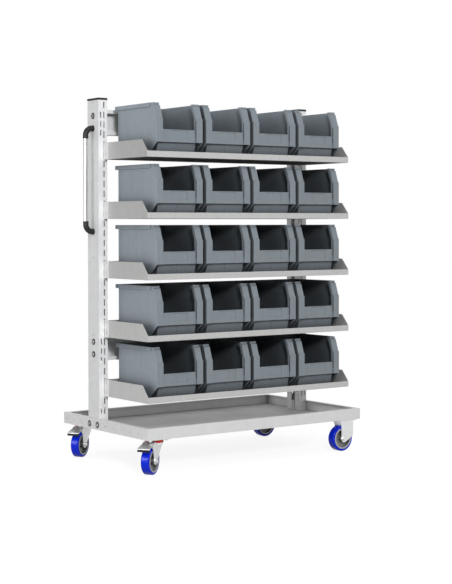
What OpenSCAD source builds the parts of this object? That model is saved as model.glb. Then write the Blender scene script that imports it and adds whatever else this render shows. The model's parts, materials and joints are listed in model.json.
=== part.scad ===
// Mobile bin cart: a steel tray on four castors, two slotted posts, five shelves of open-front bins.
// Millimetres, +Z up. The origin is on the floor under the middle of the tray; the front faces -Y.
// The bins set the shelf width, the shelves set the post spacing and the posts set the tray length.

/* [Bins] */
// Width of a bin body, without the rim
bin_w = 202; // [150:1:260]
// Depth of a bin body, front plane to back wall
bin_d = 264; // [220:1:300]
// Height of a bin
bin_h = 197; // [185:1:210]
// Thickness of the bin walls
bin_wall = 3; // [2:0.5:4]
// Height of the rim band
rim_h = 15; // [10:1:20]
// How far the rim stands out at the sides
rim_out = 3; // [2:0.5:4]
// How far the rim hangs over behind the back wall
rim_back = 18; // [10:1:24]
// Height of the window sill above the bin floor
sill_z = 100; // [88:1:120]
// Height of the crease where the front turns under
crease_z = 54; // [40:1:62]
// How far the undercut of the side walls runs back at the bottom
undercut = 64; // [50:1:70]
// How far the lower front panel sits behind the cheeks at the crease
panel_top = 21; // [14:1:22]
// How far the lower front panel sits behind the cheeks at the floor
panel_foot = 34; // [26:1:44]
// Height at which the cheeks start to lean back
cheek_z = 142; // [125:1:160]
// Width of a cheek beside the window
cheek_w = 27; // [24:1:36]
// How far the label wall sits behind the cheeks
label_inset = 6; // [4:0.5:9]
// Depth of the returns beside the window
return_d = 17; // [12:1:22]
// Width of the corner notches beside the lower front panel
notch_w = 15; // [8:1:18]
// How far the corner notches run in behind the undercut
notch_d = 24; // [23:1:30]
// Clear space between two bin bodies
bin_gap = 16.5; // [12:0.5:40]

/* [Shelves] */
// Clear space between the last bin body and the shelf side plate
end_gap = 42; // [10:0.25:60]
// Rear edge of the bin rims in front of the shelf back
rim_clear = 8; // [2:1:12]
// Depth of a shelf, front to rear
shelf_d = 296; // [280:1:360]
// Thickness of the shelf sheet
shelf_t = 2; // [1.5:0.1:3]
// Height of the front lip
shelf_lip = 22; // [12:1:30]
// Height of the side plates and the rear upstand
plate_h = 64; // [58:1:90]
// Length of the slope at the front of the side plates
slope_run = 37; // [15:1:60]
// Count of post slots above the lower hook of the top shelf
top_slot_count = 5; // [4:1:6]
// Thickness of a hook bracket
bracket_t = 2.5; // [2:0.1:3]
// Depth of a hook bracket in front of the post
bracket_d = 30; // [20:1:45]

/* [Posts] */
// Length of a post above the tray deck
post_h = 1236; // [1230:1:1300]
// Width of a post across the cart
post_w = 38; // [34:1:50]
// Depth of a post, front to rear
post_d = 80; // [78:1:100]
// Thickness of the post sheet
post_t = 2; // [1.5:0.1:3]
// Width of the return lips at the open side
post_lip = 28; // [20:1:30]
// Post front face behind the tray middle
post_y = 36; // [20:1:80]
// Slot width
slot_w = 5; // [4:0.25:6]
// Slot length
slot_h = 24; // [21:1:30]
// Slot pitch
slot_pitch = 37; // [36:0.5:38]
// Slots in a column
slot_count = 32; // [30:1:32]
// Slot column from the outer face of the post
slot_inset = 24; // [18:0.5:26]
// Top of the post to the middle of the first slot
slot_drop = 19; // [16:1:24]
// Side hole diameter
side_hole_d = 5; // [4:0.5:8]
// Side hole pitch
side_hole_pitch = 97; // [80:1:97]
// Height of a post cap
cap_h = 8; // [5:0.5:12]
// Overhang of a post cap
cap_over = 1.5; // [0.5:0.25:4]

/* [Beams] */
// Height of a beam
beam_h = 95; // [80:1:110]
// Depth of a beam
beam_d = 40; // [34:1:44]
// Thickness of the beam sheet
beam_t = 2; // [1.5:0.1:3]
// Width of the beam lips
beam_lip = 14; // [8:1:20]
// Thickness of the beam end plates
end_t = 3; // [2:0.5:5]
// Middle of the top beam below the post tops
top_drop = 82; // [75:1:95]
// Middle of the lower beam below the post tops
lower_drop = 932; // [900:1:960]
// Distance between the two bolts in a beam end
beam_bolts = 47; // [40:1:52]

/* [Handle] */
// Distance between the two handle ends
handle_span = 388; // [300:1:480]
// Tube axis in front of the post side face
handle_out = 32; // [32:1:60]
// Tube diameter
tube_d = 17; // [14:0.5:20]
// Tube wall
tube_t = 1.5; // [1:0.1:2.5]
// Wall of an elbow around the tube
elbow_t = 2; // [1.5:0.25:3]
// Bend radius of an elbow
elbow_r = 27; // [22:1:28]

/* [Tray] */
// Depth of the tray, front to rear
tray_w = 600; // [540:10:760]
// Height of the tray rim
tray_h = 42; // [38:1:60]
// Thickness of the tray sheet
tray_t = 2; // [1.5:0.1:3]
// Width of the turned-in lips
tray_lip = 15; // [8:1:22]
// Height of the rim holes above the tray underside
rim_rise = 19; // [17:0.5:22]
// Rim hole diameter
rim_hole_d = 6; // [4:0.5:8]
// Pitch of the rim holes and of the two rim bolts of a post
rim_pitch = 57.5; // [50:0.5:58]
// Thickness of a post foot
foot_t = 3; // [2:0.5:4]

/* [Bolts] */
// Bolt diameter
bolt_d = 8; // [6:0.5:10]
// Clearance of a bolt in its hole, on the radius
bolt_gap = 0.2; // [0.1:0.05:0.4]
// Castor bolt head height
low_head_h = 4.5; // [3:0.25:5]

/* [Castors] */
// Wheel diameter
wheel_d = 100; // [90:1:125]
// Tyre width
tyre_w = 32; // [24:1:38]
// Tyre thickness
tyre_t = 9; // [6:0.5:12]
// Axle bolt diameter
axle_d = 10; // [8:0.5:12]
// Running clearance of the turning fits, on the radius
run_gap = 0.05; // [0.02:0.01:0.1]
// Fork sheet thickness
fork_t = 3.5; // [2.5:0.25:5]
// Castor plate thickness
plate_t = 3; // [2:0.25:5]
// Trail of the swivel castors
trail = 36; // [28:1:40]
// Direction in which the swivel wheels trail
swivel_turn = 213; // [0:1:359]
// Castor axis from the tray end
castor_in_x = 61; // [60:1:80]
// Castor axis from the tray side
castor_in_y = 50; // [48:0.5:80]
// King pin diameter
king_d = 16; // [12:1:20]
// Length of a brake pedal
pedal_l = 54; // [40:1:60]
// Width of a brake pedal
pedal_w = 47; // [40:1:56]

/* [Hidden] */
$fn = 48;
rows = 5;
columns = 4;
// A cut runs this far past the face that it opens
past = 1;
// Space between two pieces that must not touch
part_gap = 0.3;

// Castors, from the floor up
axle_z = wheel_d / 2;
axle_r = axle_d / 2;
crown_rise = 6;
crown_t = 7;
crown_r = 32;
seal_h = 11;
crown_z = wheel_d + crown_rise;
seal_z = crown_z + crown_t;
plate_z = seal_z + seal_h;
castor_h = plate_z + plate_t;
seal_r = 34;
seal_in_r = 24;
hub_half = tyre_w / 2 + 2;
leg_y = hub_half + part_gap;
hub_r = wheel_d / 2 - tyre_t;
boss_r = 13;
king_r = king_d / 2;
swivel_plate = [90, 80];
swivel_bolts = [70, 60];
fixed_plate = [78, 85];
fixed_bolts = [58, 66];
fixed_shift = 14;
fixed_leg = 37;
pedal_pin_r = 2.5;
pedal_barrel_r = 4.5;
pedal_x = crown_r + pedal_barrel_r + 3.5;
pedal_z = wheel_d + 14;
pedal_t = 2.5;
pedal_fall = 18;
pedal_neck = 24;
pedal_tip = 7;
pedal_shoe = [[2, 0], [11, 0], [11, -12], [6, -13]];
ear_l = pedal_neck - 2;
ear_low = wheel_d - 3;

// Bins and shelves across the cart
bin_pitch = bin_w + bin_gap;
shelf_in = columns * bin_w + (columns - 1) * bin_gap + 2 * end_gap;
shelf_w = shelf_in + 2 * shelf_t;
slot_x = shelf_w / 2 + bracket_t / 2;
post_x = slot_x + slot_inset;
web_x = post_x - post_t;
mouth_x = post_x - post_w;
tray_l = 2 * (post_x + tray_t);
castor_x = tray_l / 2 - castor_in_x;
castor_y = tray_w / 2 - castor_in_y;

// Heights
deck_z = castor_h + tray_t;
rim_top = castor_h + tray_h;
post_top = deck_z + post_h;
top_beam_z = post_top - top_drop;
lower_beam_z = post_top - lower_drop;
rim_hole_z = castor_h + rim_rise;
handle_top_z = top_beam_z - beam_bolts / 2;
handle_low_z = handle_top_z - handle_span;

// Front to rear
post_mid = post_y + post_d / 2;
shelf_back = post_y - 2;
shelf_front = shelf_back - shelf_d;
bin_front = shelf_back - rim_clear - rim_back - bin_d;

// Bin front: the lean of the cheeks, the front end of the rim, the label recess, the flap slots
// and the line down the middle of the lower panel
lean_step = 4;
lean_run = 20;
lean_top = bin_h - 9;
rim_front = 25;
band_in = 16;
label_w = 74;
label_d = 2;
label_low = crease_z + 12;
label_high = sill_z - 3;
flap_slot_low = sill_z - 25;
flap_slot_high = cheek_z - 8;
flap_slot_d = 5;
panel_line_w = 2;
panel_line_d = 1;

// Posts and hooks
side_holes = 13;
side_hole_drop = 9;
beam_slot_inset = 10;
beam_slots = [26, -8, -42];
foot_slot_rise = 73;
beam_room = 1;
rim_steps = 8;
row_slot_count = 6;
hook_drop = 20;
hook_h = 16;
hook_catch = 3;

// Bolts
bolt_r = bolt_d / 2;
bolt_hole_r = bolt_r + bolt_gap;
head_r = 2 * bolt_r;
head_top_r = 0.7 * head_r;
head_h = 5;
low_head_r = 1.6 * bolt_r;
nut_r = 1.85 * bolt_r;
nut_h = 0.8 * bolt_d;
bolt_tail = 2;
handle_screw_l = 14;

// Colours
steel_white = [0.88, 0.89, 0.9];
deck_grey = [0.62, 0.64, 0.66];
bin_blue = [0.55, 0.59, 0.62];
zinc = [0.78, 0.79, 0.8];
black = [0.08, 0.08, 0.09];
tyre_blue = [0.02, 0.1, 0.75];
hub_grey = [0.6, 0.62, 0.64];
seal_red = [0.75, 0.08, 0.06];

// Names of the bins, row by row from the top
bin_names = [for (row = [1 : rows]) for (column = [1 : columns]) str("bin_", row, "_", column)];
shelf_names = [for (row = [1 : rows]) str("shelf_", row)];
frame_names = ["tray_deck", "tray_rim", "left_post", "right_post", "post_caps", "top_beam", "lower_beam",
    "handle_tube", "handle_ends", "shelf_brackets", "post_feet", "frame_bolts", "castor_bolts"];
swivel_parts = ["plate", "seal", "fork", "pins", "tyre", "hub", "pedal"];
fixed_parts = ["fork", "axle", "tyre", "hub"];
places = ["front", "rear"];
swivel_names = [for (place = places) for (piece = swivel_parts) str(place, "_swivel_", piece)];
fixed_names = [for (place = places) for (piece = fixed_parts) str(place, "_fixed_", piece)];

// Middle height of a post slot, counted from the top
function slot_z(index) = post_top - slot_drop - slot_pitch * index;
// Height of a side hole of a post, counted from the top
function side_hole_z(index) = post_top - side_hole_drop - side_hole_pitch * index;
// Slot index of the lower hook of a shelf
function hook_slot(row) = top_slot_count + row_slot_count * (row - 1);
// Underside of a shelf
function shelf_z(row) = slot_z(hook_slot(row)) - hook_drop;
// Place of a rim hole, on the grid of the rim bolts
function rim_hole_y(step) = post_mid + (step + 0.5) * rim_pitch;
// A rim hole stays clear of the post and the tray corners
function rim_hole_free(y) = abs(y - post_mid) > post_d / 2 + rim_hole_d && abs(y) < tray_w / 2 - tray_lip;
// Middle of a bin across the cart
function bin_x(column) = (column - (columns + 1) / 2) * bin_pitch;
// Front or rear side of the cart
function place_y(place) = place == "front" ? -castor_y : castor_y;
// Front edge of the bin cheeks at a height above the start of their lean
function lean_y(z) = lean_step + (lean_run - lean_step) * (z - cheek_z) / (lean_top - cheek_z);
// Depth of the inner undercut face at a height, one wall thickness behind the outer one
function under_y(z) = undercut * (1 - z / crease_z) + bin_wall * norm([undercut, crease_z]) / crease_z;
// Depth of the lower front panel at a height
function panel_y(z) = panel_top + (panel_foot - panel_top) * (1 - z / crease_z);
// Upper face of a brake pedal at a distance from its pin
function pedal_top(x) = pedal_barrel_r - pedal_fall * x / pedal_l;

// Basic shapes

// A box from its low corner to its high corner
module block(low, high) {
    translate(low) cube(high - low);
}

// A profile drawn in Y and Z, run along X from one side to the other
module run_x(from, to) {
    translate([from, 0, 0]) rotate([90, 0, 90]) linear_extrude(to - from) children();
}

// A profile drawn in X and Z, run along Y from front to rear
module run_y(from, to) {
    translate([0, to, 0]) rotate([90, 0, 0]) linear_extrude(to - from) children();
}

// A round bar along X
module bar_x(x, y, z, length, r) {
    translate([x, y, z]) rotate([0, 90, 0]) cylinder(h = length, r = r);
}

// A round bar along Y
module bar_y(x, y, z, length, r) {
    translate([x, y, z]) rotate([-90, 0, 0]) cylinder(h = length, r = r);
}

// The right side as drawn, or its mirror image on the left
module at_side(side) {
    mirror([side < 0 ? 1 : 0, 0, 0]) children();
}

// Tray

// One turned-in lip, mitred at its ends
module tray_lip_strip(length, slit) {
    half = length / 2;
    top = half - tray_lip;
    polygon([[slit - half, 0], [half - slit, 0], [top - slit, tray_lip], [slit - top, tray_lip]]);
}

// Four castor bolts about the middle of a plate
module castor_bolt_places(size) {
    for (x = [-0.5, 0.5]) for (y = [-0.5, 0.5]) translate([x * size[0], y * size[1], 0]) children();
}

// Every castor bolt of the cart
module all_castor_bolts() {
    for (place = places) {
        translate([-castor_x, place_y(place), 0]) castor_bolt_places(swivel_bolts) children();
        translate([castor_x + fixed_shift, place_y(place), 0]) castor_bolt_places(fixed_bolts) children();
    }
}

// Floor sheet between the rim walls
module tray_deck() {
    in_l = tray_l / 2 - tray_t;
    in_w = tray_w / 2 - tray_t;
    color(deck_grey) difference() {
        block([-in_l, -in_w, castor_h], [in_l, in_w, deck_z]);
        all_castor_bolts() translate([0, 0, castor_h - past])
            cylinder(h = tray_t + 2 * past, r = bolt_hole_r);
    }
}

// Rim walls with the turned-in lips; the row of holes is at the handle end only
module tray_rim() {
    half_l = tray_l / 2;
    half_w = tray_w / 2;
    in_l = half_l - tray_t;
    in_w = half_w - tray_t;
    cut = tray_t + 2 * past;
    slit = 0.4;
    color(steel_white) difference() {
        union() {
            difference() {
                block([-half_l, -half_w, castor_h], [half_l, half_w, rim_top]);
                block([-in_l, -in_w, castor_h - past], [in_l, in_w, rim_top + past]);
            }
            for (turn = [0, 180]) rotate([0, 0, turn]) {
                translate([0, -half_w, rim_top - tray_t])
                    linear_extrude(tray_t) tray_lip_strip(tray_l, slit);
                rotate([0, 0, 90]) translate([0, -half_l, rim_top - tray_t])
                    linear_extrude(tray_t) tray_lip_strip(tray_w, slit);
            }
        }
        for (side = [-1, 1]) at_side(side) {
            block([in_l - tray_lip - past, post_y - past, deck_z],
                [in_l, post_y + post_d + past, rim_top + past]);
            rim_bolt_places() bar_x(in_l - past, 0, 0, cut, bolt_hole_r);
        }
        for (step = [-rim_steps : rim_steps])
            if (rim_hole_free(rim_hole_y(step)))
                bar_x(-half_l - past, rim_hole_y(step), rim_hole_z, cut, rim_hole_d / 2);
    }
}

// Places of the two rim bolts of a post, at X = 0
module rim_bolt_places() {
    for (y = [-rim_pitch / 2, rim_pitch / 2]) translate([0, post_mid + y, rim_hole_z]) children();
}

// Places of the two bolts in a beam end, at X = 0
module beam_bolt_places(beam_z) {
    for (z = [-beam_bolts / 2, beam_bolts / 2]) translate([0, post_mid, beam_z + z]) children();
}

// Posts

// C profile of a post, open towards the middle of the cart
module post_profile() {
    difference() {
        translate([mouth_x, post_y]) square([post_w, post_d]);
        translate([mouth_x + post_t, post_y + post_t]) square([post_w - 2 * post_t, post_d - 2 * post_t]);
        translate([mouth_x - past, post_y + post_lip]) square([2 * past + post_t, post_d - 2 * post_lip]);
    }
}

// One slot through the front and rear flanges
module post_slot(inset, z, length) {
    block([post_x - inset - slot_w / 2, post_y - past, z - length / 2],
        [post_x - inset + slot_w / 2, post_y + post_d + past, z + length / 2]);
}

// Notch in the return lips where a beam enters the post
module beam_notch(beam_z) {
    half = [beam_d / 2 + beam_room, beam_h / 2 + beam_room];
    block([mouth_x - past, post_mid - half[0], beam_z - half[1]],
        [mouth_x + post_t + past, post_mid + half[0], beam_z + half[1]]);
}

module post(side) {
    cut = post_t + 2 * past;
    color(steel_white) at_side(side) difference() {
        translate([0, 0, deck_z]) linear_extrude(post_h) post_profile();
        for (index = [0 : slot_count - 1]) post_slot(slot_inset, slot_z(index), slot_h);
        for (beam_z = [top_beam_z, lower_beam_z]) for (rise = beam_slots)
            post_slot(beam_slot_inset, beam_z + rise, slot_h - 2);
        post_slot(beam_slot_inset, deck_z + foot_slot_rise, slot_h);
        for (index = [0 : side_holes - 1])
            bar_x(web_x - past, post_mid, side_hole_z(index), cut, side_hole_d / 2);
        for (beam_z = [top_beam_z, lower_beam_z])
            beam_bolt_places(beam_z) bar_x(web_x - past, 0, 0, cut, bolt_hole_r);
        rim_bolt_places() bar_x(web_x - past, 0, 0, cut, bolt_hole_r);
        if (side < 0)
            bar_x(web_x - past, post_mid, handle_low_z, cut, bolt_hole_r);
        for (beam_z = [top_beam_z, lower_beam_z]) beam_notch(beam_z);
    }
}

module left_post() {
    post(-1);
}

module right_post() {
    post(1);
}

// Cap on a post, with a plug that reaches into the C
module post_caps() {
    plug_h = 10;
    bevel = 2;
    low = [mouth_x - cap_over, post_y - cap_over, post_top];
    high = [post_x + cap_over, post_y + post_d + cap_over, post_top + cap_h];
    fit = post_t + part_gap;
    thin = 0.01;
    color(black) for (side = [-1, 1]) at_side(side) {
        block(low, high - [0, 0, bevel]);
        hull() {
            block(low + [0, 0, cap_h - bevel - thin], high - [0, 0, bevel]);
            block(low + [bevel, bevel, cap_h - thin], high - [bevel, bevel, 0]);
        }
        block([mouth_x + fit, post_y + fit, post_top - plug_h],
            [post_x - fit, post_y + post_d - fit, post_top]);
    }
}

// Foot bracket in each post: one leg behind the web, one in the open side, joined along the deck
module post_feet() {
    leg_half = post_d / 2 - post_t - part_gap;
    mouth_half = post_d / 2 - post_lip - 1;
    inner_x = mouth_x + post_t - 1;
    leg_rise = 18;
    color(zinc) for (side = [-1, 1]) at_side(side) difference() {
        translate([0, post_mid, deck_z]) {
            block([web_x - foot_t, -leg_half, 0], [web_x, leg_half, tray_h + leg_rise]);
            block([inner_x - foot_t, -mouth_half, 0], [web_x, mouth_half, foot_t]);
            block([inner_x - foot_t, -mouth_half, 0], [inner_x, mouth_half, tray_h - tray_t]);
        }
        rim_bolt_places() bar_x(web_x - foot_t - past, 0, 0, foot_t + 2 * past, bolt_hole_r);
    }
}

// Beams

// Lipped channel, open to the front
module beam_profile() {
    difference() {
        square([beam_d, beam_h], center = true);
        square([beam_d - 2 * beam_t, beam_h - 2 * beam_t], center = true);
        translate([-beam_d / 2 - past, beam_lip - beam_h / 2])
            square([2 * past + beam_t, beam_h - 2 * beam_lip]);
    }
}

module beam(beam_z) {
    color(steel_white) difference() {
        translate([0, post_mid, beam_z]) union() {
            run_x(-web_x, web_x) beam_profile();
            for (side = [-1, 1]) at_side(side)
                block([web_x - end_t, -beam_d / 2, -beam_h / 2], [web_x, beam_d / 2, beam_h / 2]);
        }
        for (side = [-1, 1]) at_side(side)
            beam_bolt_places(beam_z) bar_x(web_x - end_t - past, 0, 0, end_t + 2 * past, bolt_hole_r);
    }
}

module top_beam() {
    beam(top_beam_z);
}

module lower_beam() {
    beam(lower_beam_z);
}

// Handle

// Elbow from the post face out to the tube axis and down to the tube
module handle_elbow() {
    outer_r = tube_d / 2 + elbow_t;
    socket = 12;
    run = handle_out - elbow_r;
    collar = [3, outer_r + 1];
    screw_deep = handle_screw_l + 1;
    difference() {
        union() {
            rotate([0, -90, 0]) cylinder(h = run, r = outer_r);
            rotate([0, -90, 0]) cylinder(h = collar[0], r = collar[1]);
            translate([-run, 0, -elbow_r]) rotate([90, -90, 0]) rotate_extrude(angle = 90)
                translate([elbow_r, 0]) circle(r = outer_r);
            translate([-handle_out, 0, -elbow_r - socket]) cylinder(h = socket, r = outer_r);
        }
        translate([-handle_out, 0, -elbow_r - socket - past])
            cylinder(h = socket + past, r = tube_d / 2 + bolt_gap);
        translate([past, 0, 0]) rotate([0, -90, 0]) cylinder(h = screw_deep + past, r = bolt_hole_r);
    }
}

module handle_ends() {
    color(black) {
        translate([-post_x, post_mid, handle_top_z]) handle_elbow();
        translate([-post_x, post_mid, handle_low_z]) mirror([0, 0, 1]) handle_elbow();
    }
}

module handle_tube() {
    low = handle_low_z + elbow_r;
    high = handle_top_z - elbow_r;
    color(zinc) translate([-post_x - handle_out, post_mid, low]) difference() {
        cylinder(h = high - low, r = tube_d / 2);
        translate([0, 0, -past]) cylinder(h = high - low + 2 * past, r = tube_d / 2 - tube_t);
    }
}

// Shelves

// Side plate with a slope down to the front lip
module shelf_side_profile() {
    polygon([[shelf_front, 0], [shelf_back, 0], [shelf_back, plate_h],
        [shelf_front + slope_run, plate_h], [shelf_front, shelf_lip]]);
}

module shelf(row) {
    half = shelf_w / 2;
    color(steel_white) translate([0, 0, shelf_z(row)]) {
        block([-half, shelf_front, 0], [half, shelf_back, shelf_t]);
        block([-half, shelf_front, 0], [half, shelf_front + shelf_t, shelf_lip]);
        block([-half, shelf_back - shelf_t, 0], [half, shelf_back, plate_h]);
        for (side = [-1, 1]) at_side(side) run_x(half - shelf_t, half) shelf_side_profile();
    }
}

// One hook through a post slot, drawn about the middle of the slot
module shelf_hook() {
    behind = post_t + part_gap;
    tip = behind + hook_catch;
    block([0, -past, -hook_h / 2], [bracket_t, tip, hook_h / 2]);
    block([0, behind, -hook_h / 2 - hook_catch], [bracket_t, tip, hook_h / 2]);
}

// Plate outside a shelf end, with two hooks and two long holes at the hooks' heights
module shelf_bracket(row) {
    base = shelf_z(row);
    hole = [2.5, 15];
    hole_y = -bracket_d / 2;
    hooks = [hook_slot(row) - 1, hook_slot(row)];
    translate([slot_x - bracket_t / 2, post_y, 0]) difference() {
        union() {
            block([0, -bracket_d, base], [bracket_t, 0, base + plate_h]);
            for (index = hooks) translate([0, 0, slot_z(index)]) shelf_hook();
        }
        for (index = hooks) translate([0, hole_y, slot_z(index)])
            block([-past, -hole[0] / 2, -hole[1] / 2], [bracket_t + past, hole[0] / 2, hole[1] / 2]);
    }
}

module shelf_brackets() {
    color(zinc) for (row = [1 : rows]) for (side = [-1, 1]) at_side(side) shelf_bracket(row);
}

// Bins, drawn with the front plane at Y = 0 and the floor at Z = 0

// Outline of the side walls
module bin_side_profile() {
    polygon([[undercut, 0], [bin_d, 0], [bin_d, bin_h], [rim_front, bin_h], [rim_front, lean_top],
        [lean_run, lean_top], [lean_step, cheek_z], [0, cheek_z], [0, crease_z]]);
}

// Lower front panel, filled back to the undercut
module bin_panel_profile() {
    polygon([[panel_foot, 0], [undercut, 0], [undercut, crease_z], [panel_top, crease_z]]);
}

// Space in front of the lower front panel
module bin_panel_cut() {
    polygon([[-past, -past], [panel_y(-past), -past], [panel_top, crease_z], [-past, crease_z]]);
}

// Corner notch below a cheek
module bin_notch_cut() {
    foot = notch_d + undercut * (1 + past / crease_z);
    polygon([[-past, crease_z], [-past, -past], [foot, -past], [notch_d, crease_z]]);
}

// Hollow behind the returns and the corner notches
module bin_main_hollow() {
    back = bin_d - bin_wall;
    high = bin_h + past;
    low = crease_z + bin_wall;
    polygon([[notch_d + under_y(bin_wall), bin_wall], [back, bin_wall], [back, high],
        [return_d + lean_y(high), high], [return_d, cheek_z], [return_d, low],
        [notch_d + under_y(low), low]]);
}

// Hollow behind the lower front panel
module bin_panel_hollow() {
    deep = notch_d + under_y(0);
    top = crease_z + bin_wall + past;
    polygon([[panel_y(bin_wall) + bin_wall, bin_wall], [deep, bin_wall], [deep, top],
        [panel_top + bin_wall, top]]);
}

// Hollow in front of the main one, behind the label wall or a cheek
module bin_front_hollow(front) {
    rear = return_d + past;
    low = crease_z + bin_wall;
    high = bin_h + past;
    step_z = cheek_z - bin_wall;
    ledge_z = lean_top - bin_wall;
    ledge_y = rim_front + bin_wall;
    polygon([[front, low], [rear, low], [rear, cheek_z], [rear + lean_y(high), high], [ledge_y, high],
        [ledge_y, ledge_z], [front + lean_y(ledge_z), ledge_z], [front + lean_step, step_z],
        [front, step_z - lean_step]]);
}

// Rim band along the sides, with the hanging lip behind the back wall
module bin_rim() {
    side_x = bin_w / 2 + rim_out;
    rear = bin_d + rim_back;
    low = bin_h - rim_h;
    for (side = [-1, 1]) at_side(side)
        block([bin_w / 2 - bin_wall, rim_front + band_in, low], [side_x, rear, bin_h]);
    block([-side_x, bin_d - bin_wall, bin_h - bin_wall], [side_x, rear, bin_h]);
    block([-side_x, rear - bin_wall, low], [side_x, rear, bin_h]);
}

// One bin; the window, the label recess, the flap slots and the notches are cut into the shell
module bin_shape() {
    half = bin_w / 2;
    inner = half - bin_wall;
    window = half - cheek_w;
    panel = inner - notch_w;
    difference() {
        union() {
            run_x(-half, half) bin_side_profile();
            run_x(-panel, panel) bin_panel_profile();
        }
        run_x(-inner, inner) bin_main_hollow();
        run_x(bin_wall - panel, panel - bin_wall) bin_panel_hollow();
        run_x(-window, window) bin_front_hollow(label_inset + bin_wall);
        run_x(-inner, inner) bin_panel_cut();
        run_x(-panel_line_w / 2, panel_line_w / 2) translate([panel_line_d, 0]) bin_panel_cut();
        for (side = [-1, 1]) at_side(side) {
            run_x(window + bin_wall, inner) bin_front_hollow(bin_wall);
            run_x(panel, inner) bin_notch_cut();
            block([window - past, bin_wall, flap_slot_low],
                [window + bin_wall + past, bin_wall + flap_slot_d, flap_slot_high]);
        }
        block([-window, -past, crease_z], [window, label_inset, bin_h + past]);
        block([-window, -past, sill_z], [window, bin_d / 2, bin_h + past]);
        block([-label_w / 2, label_inset - past, label_low],
            [label_w / 2, label_inset + label_d, label_high]);
    }
    bin_rim();
}

module bin(row, column) {
    color(bin_blue) translate([bin_x(column), bin_front, shelf_z(row) + shelf_t]) bin_shape();
}

// Bolts

// Domed bolt along -X with its head on the face X = 0 and a nut on the far side of the grip
module bolt_set(grip) {
    rotate([0, 90, 0]) cylinder(h = head_h / 2, r = head_r);
    translate([head_h / 2, 0, 0]) rotate([0, 90, 0])
        cylinder(h = head_h / 2, r1 = head_r, r2 = head_top_r);
    bar_x(-grip - nut_h - bolt_tail, 0, 0, grip + nut_h + bolt_tail + past, bolt_r);
    difference() {
        translate([-grip - nut_h, 0, 0]) rotate([0, 90, 0]) cylinder(h = nut_h, r = nut_r, $fn = 6);
        bar_x(-grip - nut_h - past, 0, 0, nut_h + 2 * past, bolt_r + run_gap);
    }
}

// Screw from inside a post into a handle end
module handle_screw(grip) {
    bar_x(-handle_screw_l, 0, 0, handle_screw_l + grip + past, bolt_r);
    translate([grip, 0, 0]) rotate([0, 90, 0]) cylinder(h = head_h, r = low_head_r);
}

module frame_bolts() {
    beam_grip = post_t + end_t;
    color(zinc) {
        for (side = [-1, 1]) at_side(side) {
            translate([tray_l / 2, 0, 0]) rim_bolt_places() bolt_set(tray_t + post_t + foot_t);
            translate([post_x, 0, 0]) beam_bolt_places(lower_beam_z) bolt_set(beam_grip);
            translate([post_x, post_mid, top_beam_z + beam_bolts / 2]) bolt_set(beam_grip);
        }
        translate([post_x, post_mid, top_beam_z - beam_bolts / 2]) bolt_set(beam_grip);
        translate([-post_x, post_mid, handle_top_z]) handle_screw(beam_grip);
        translate([-post_x, post_mid, handle_low_z]) handle_screw(post_t);
    }
}

module castor_bolts() {
    color(zinc) all_castor_bolts() translate([0, 0, plate_z]) {
        translate([0, 0, -low_head_h]) cylinder(h = low_head_h, r = low_head_r, $fn = 6);
        translate([0, 0, -past]) cylinder(h = plate_t + tray_t + past, r = bolt_r);
    }
}

// Castors, drawn about the king pin with the wheel trailing towards +X

// A swivel castor piece at its place and angle
module swivel_at(place) {
    translate([-castor_x, place_y(place), 0]) rotate([0, 0, swivel_turn]) children();
}

// A fixed castor piece at its place
module fixed_at(place) {
    translate([castor_x, place_y(place), 0]) children();
}

// Plate with bolt holes
module castor_plate(size, bolts) {
    difference() {
        block([-size[0] / 2, -size[1] / 2, plate_z], [size[0] / 2, size[1] / 2, castor_h]);
        castor_bolt_places(bolts) translate([0, 0, plate_z - past])
            cylinder(h = plate_t + 2 * past, r = bolt_hole_r);
    }
}

// Plate with the king pin; it stays square to the tray
module swivel_plate_part(place) {
    head = [4, king_r + 5];
    low = crown_z - part_gap - head[0];
    color(zinc) translate([-castor_x, place_y(place), 0]) {
        castor_plate(swivel_plate, swivel_bolts);
        translate([0, 0, low]) cylinder(h = plate_z + past - low, r = king_r);
        translate([0, 0, low]) cylinder(h = head[0], r = head[1]);
    }
}

module swivel_seal(place) {
    color(seal_red) swivel_at(place) translate([0, 0, seal_z]) difference() {
        cylinder(h = seal_h - part_gap, r = seal_r);
        translate([0, 0, -past]) cylinder(h = seal_h + past, r = seal_in_r);
    }
}

// Leg of a swivel fork, from the crown down to the axle, with the ear that holds the pedal pin
module swivel_leg_profile() {
    back = -24;
    ear_in = pedal_x - pedal_barrel_r - 2;
    ear_out = pedal_x + ear_l;
    ear_top = pedal_z + pedal_barrel_r;
    polygon([[back, seal_z], [ear_in, seal_z], [ear_in, ear_top], [pedal_x + pedal_barrel_r, ear_top],
        [ear_out, pedal_z - pedal_barrel_r], [ear_out, ear_low], [trail + boss_r + 4, ear_low - 5],
        [trail + boss_r, axle_z], [trail - boss_r, axle_z], [back, crown_z]]);
    translate([trail, axle_z]) circle(r = boss_r);
}

module swivel_fork(place) {
    reach = leg_y + fork_t;
    cut = 2 * (reach + past);
    color(zinc) swivel_at(place) difference() {
        union() {
            translate([0, 0, crown_z]) cylinder(h = crown_t, r = crown_r);
            for (side = [-1, 1]) mirror([0, side < 0 ? 1 : 0, 0])
                run_y(leg_y, reach) swivel_leg_profile();
        }
        translate([0, 0, crown_z - past]) cylinder(h = crown_t + 2 * past, r = king_r + run_gap);
        bar_y(trail, -reach - past, axle_z, cut, axle_r + run_gap);
        bar_y(pedal_x, -reach - past, pedal_z, cut, pedal_pin_r + run_gap);
    }
}

// Axle bolt with its head and nut outside the fork
module axle_bolt(x) {
    reach = leg_y + fork_t;
    end_h = 6;
    end_r = 1.75 * axle_r;
    bar_y(x, -reach - end_h, axle_z, 2 * (reach + end_h), axle_r);
    for (y = [-reach - end_h, reach]) translate([x, y, axle_z]) rotate([-90, 0, 0])
        cylinder(h = end_h, r = end_r, $fn = 6);
}

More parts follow.
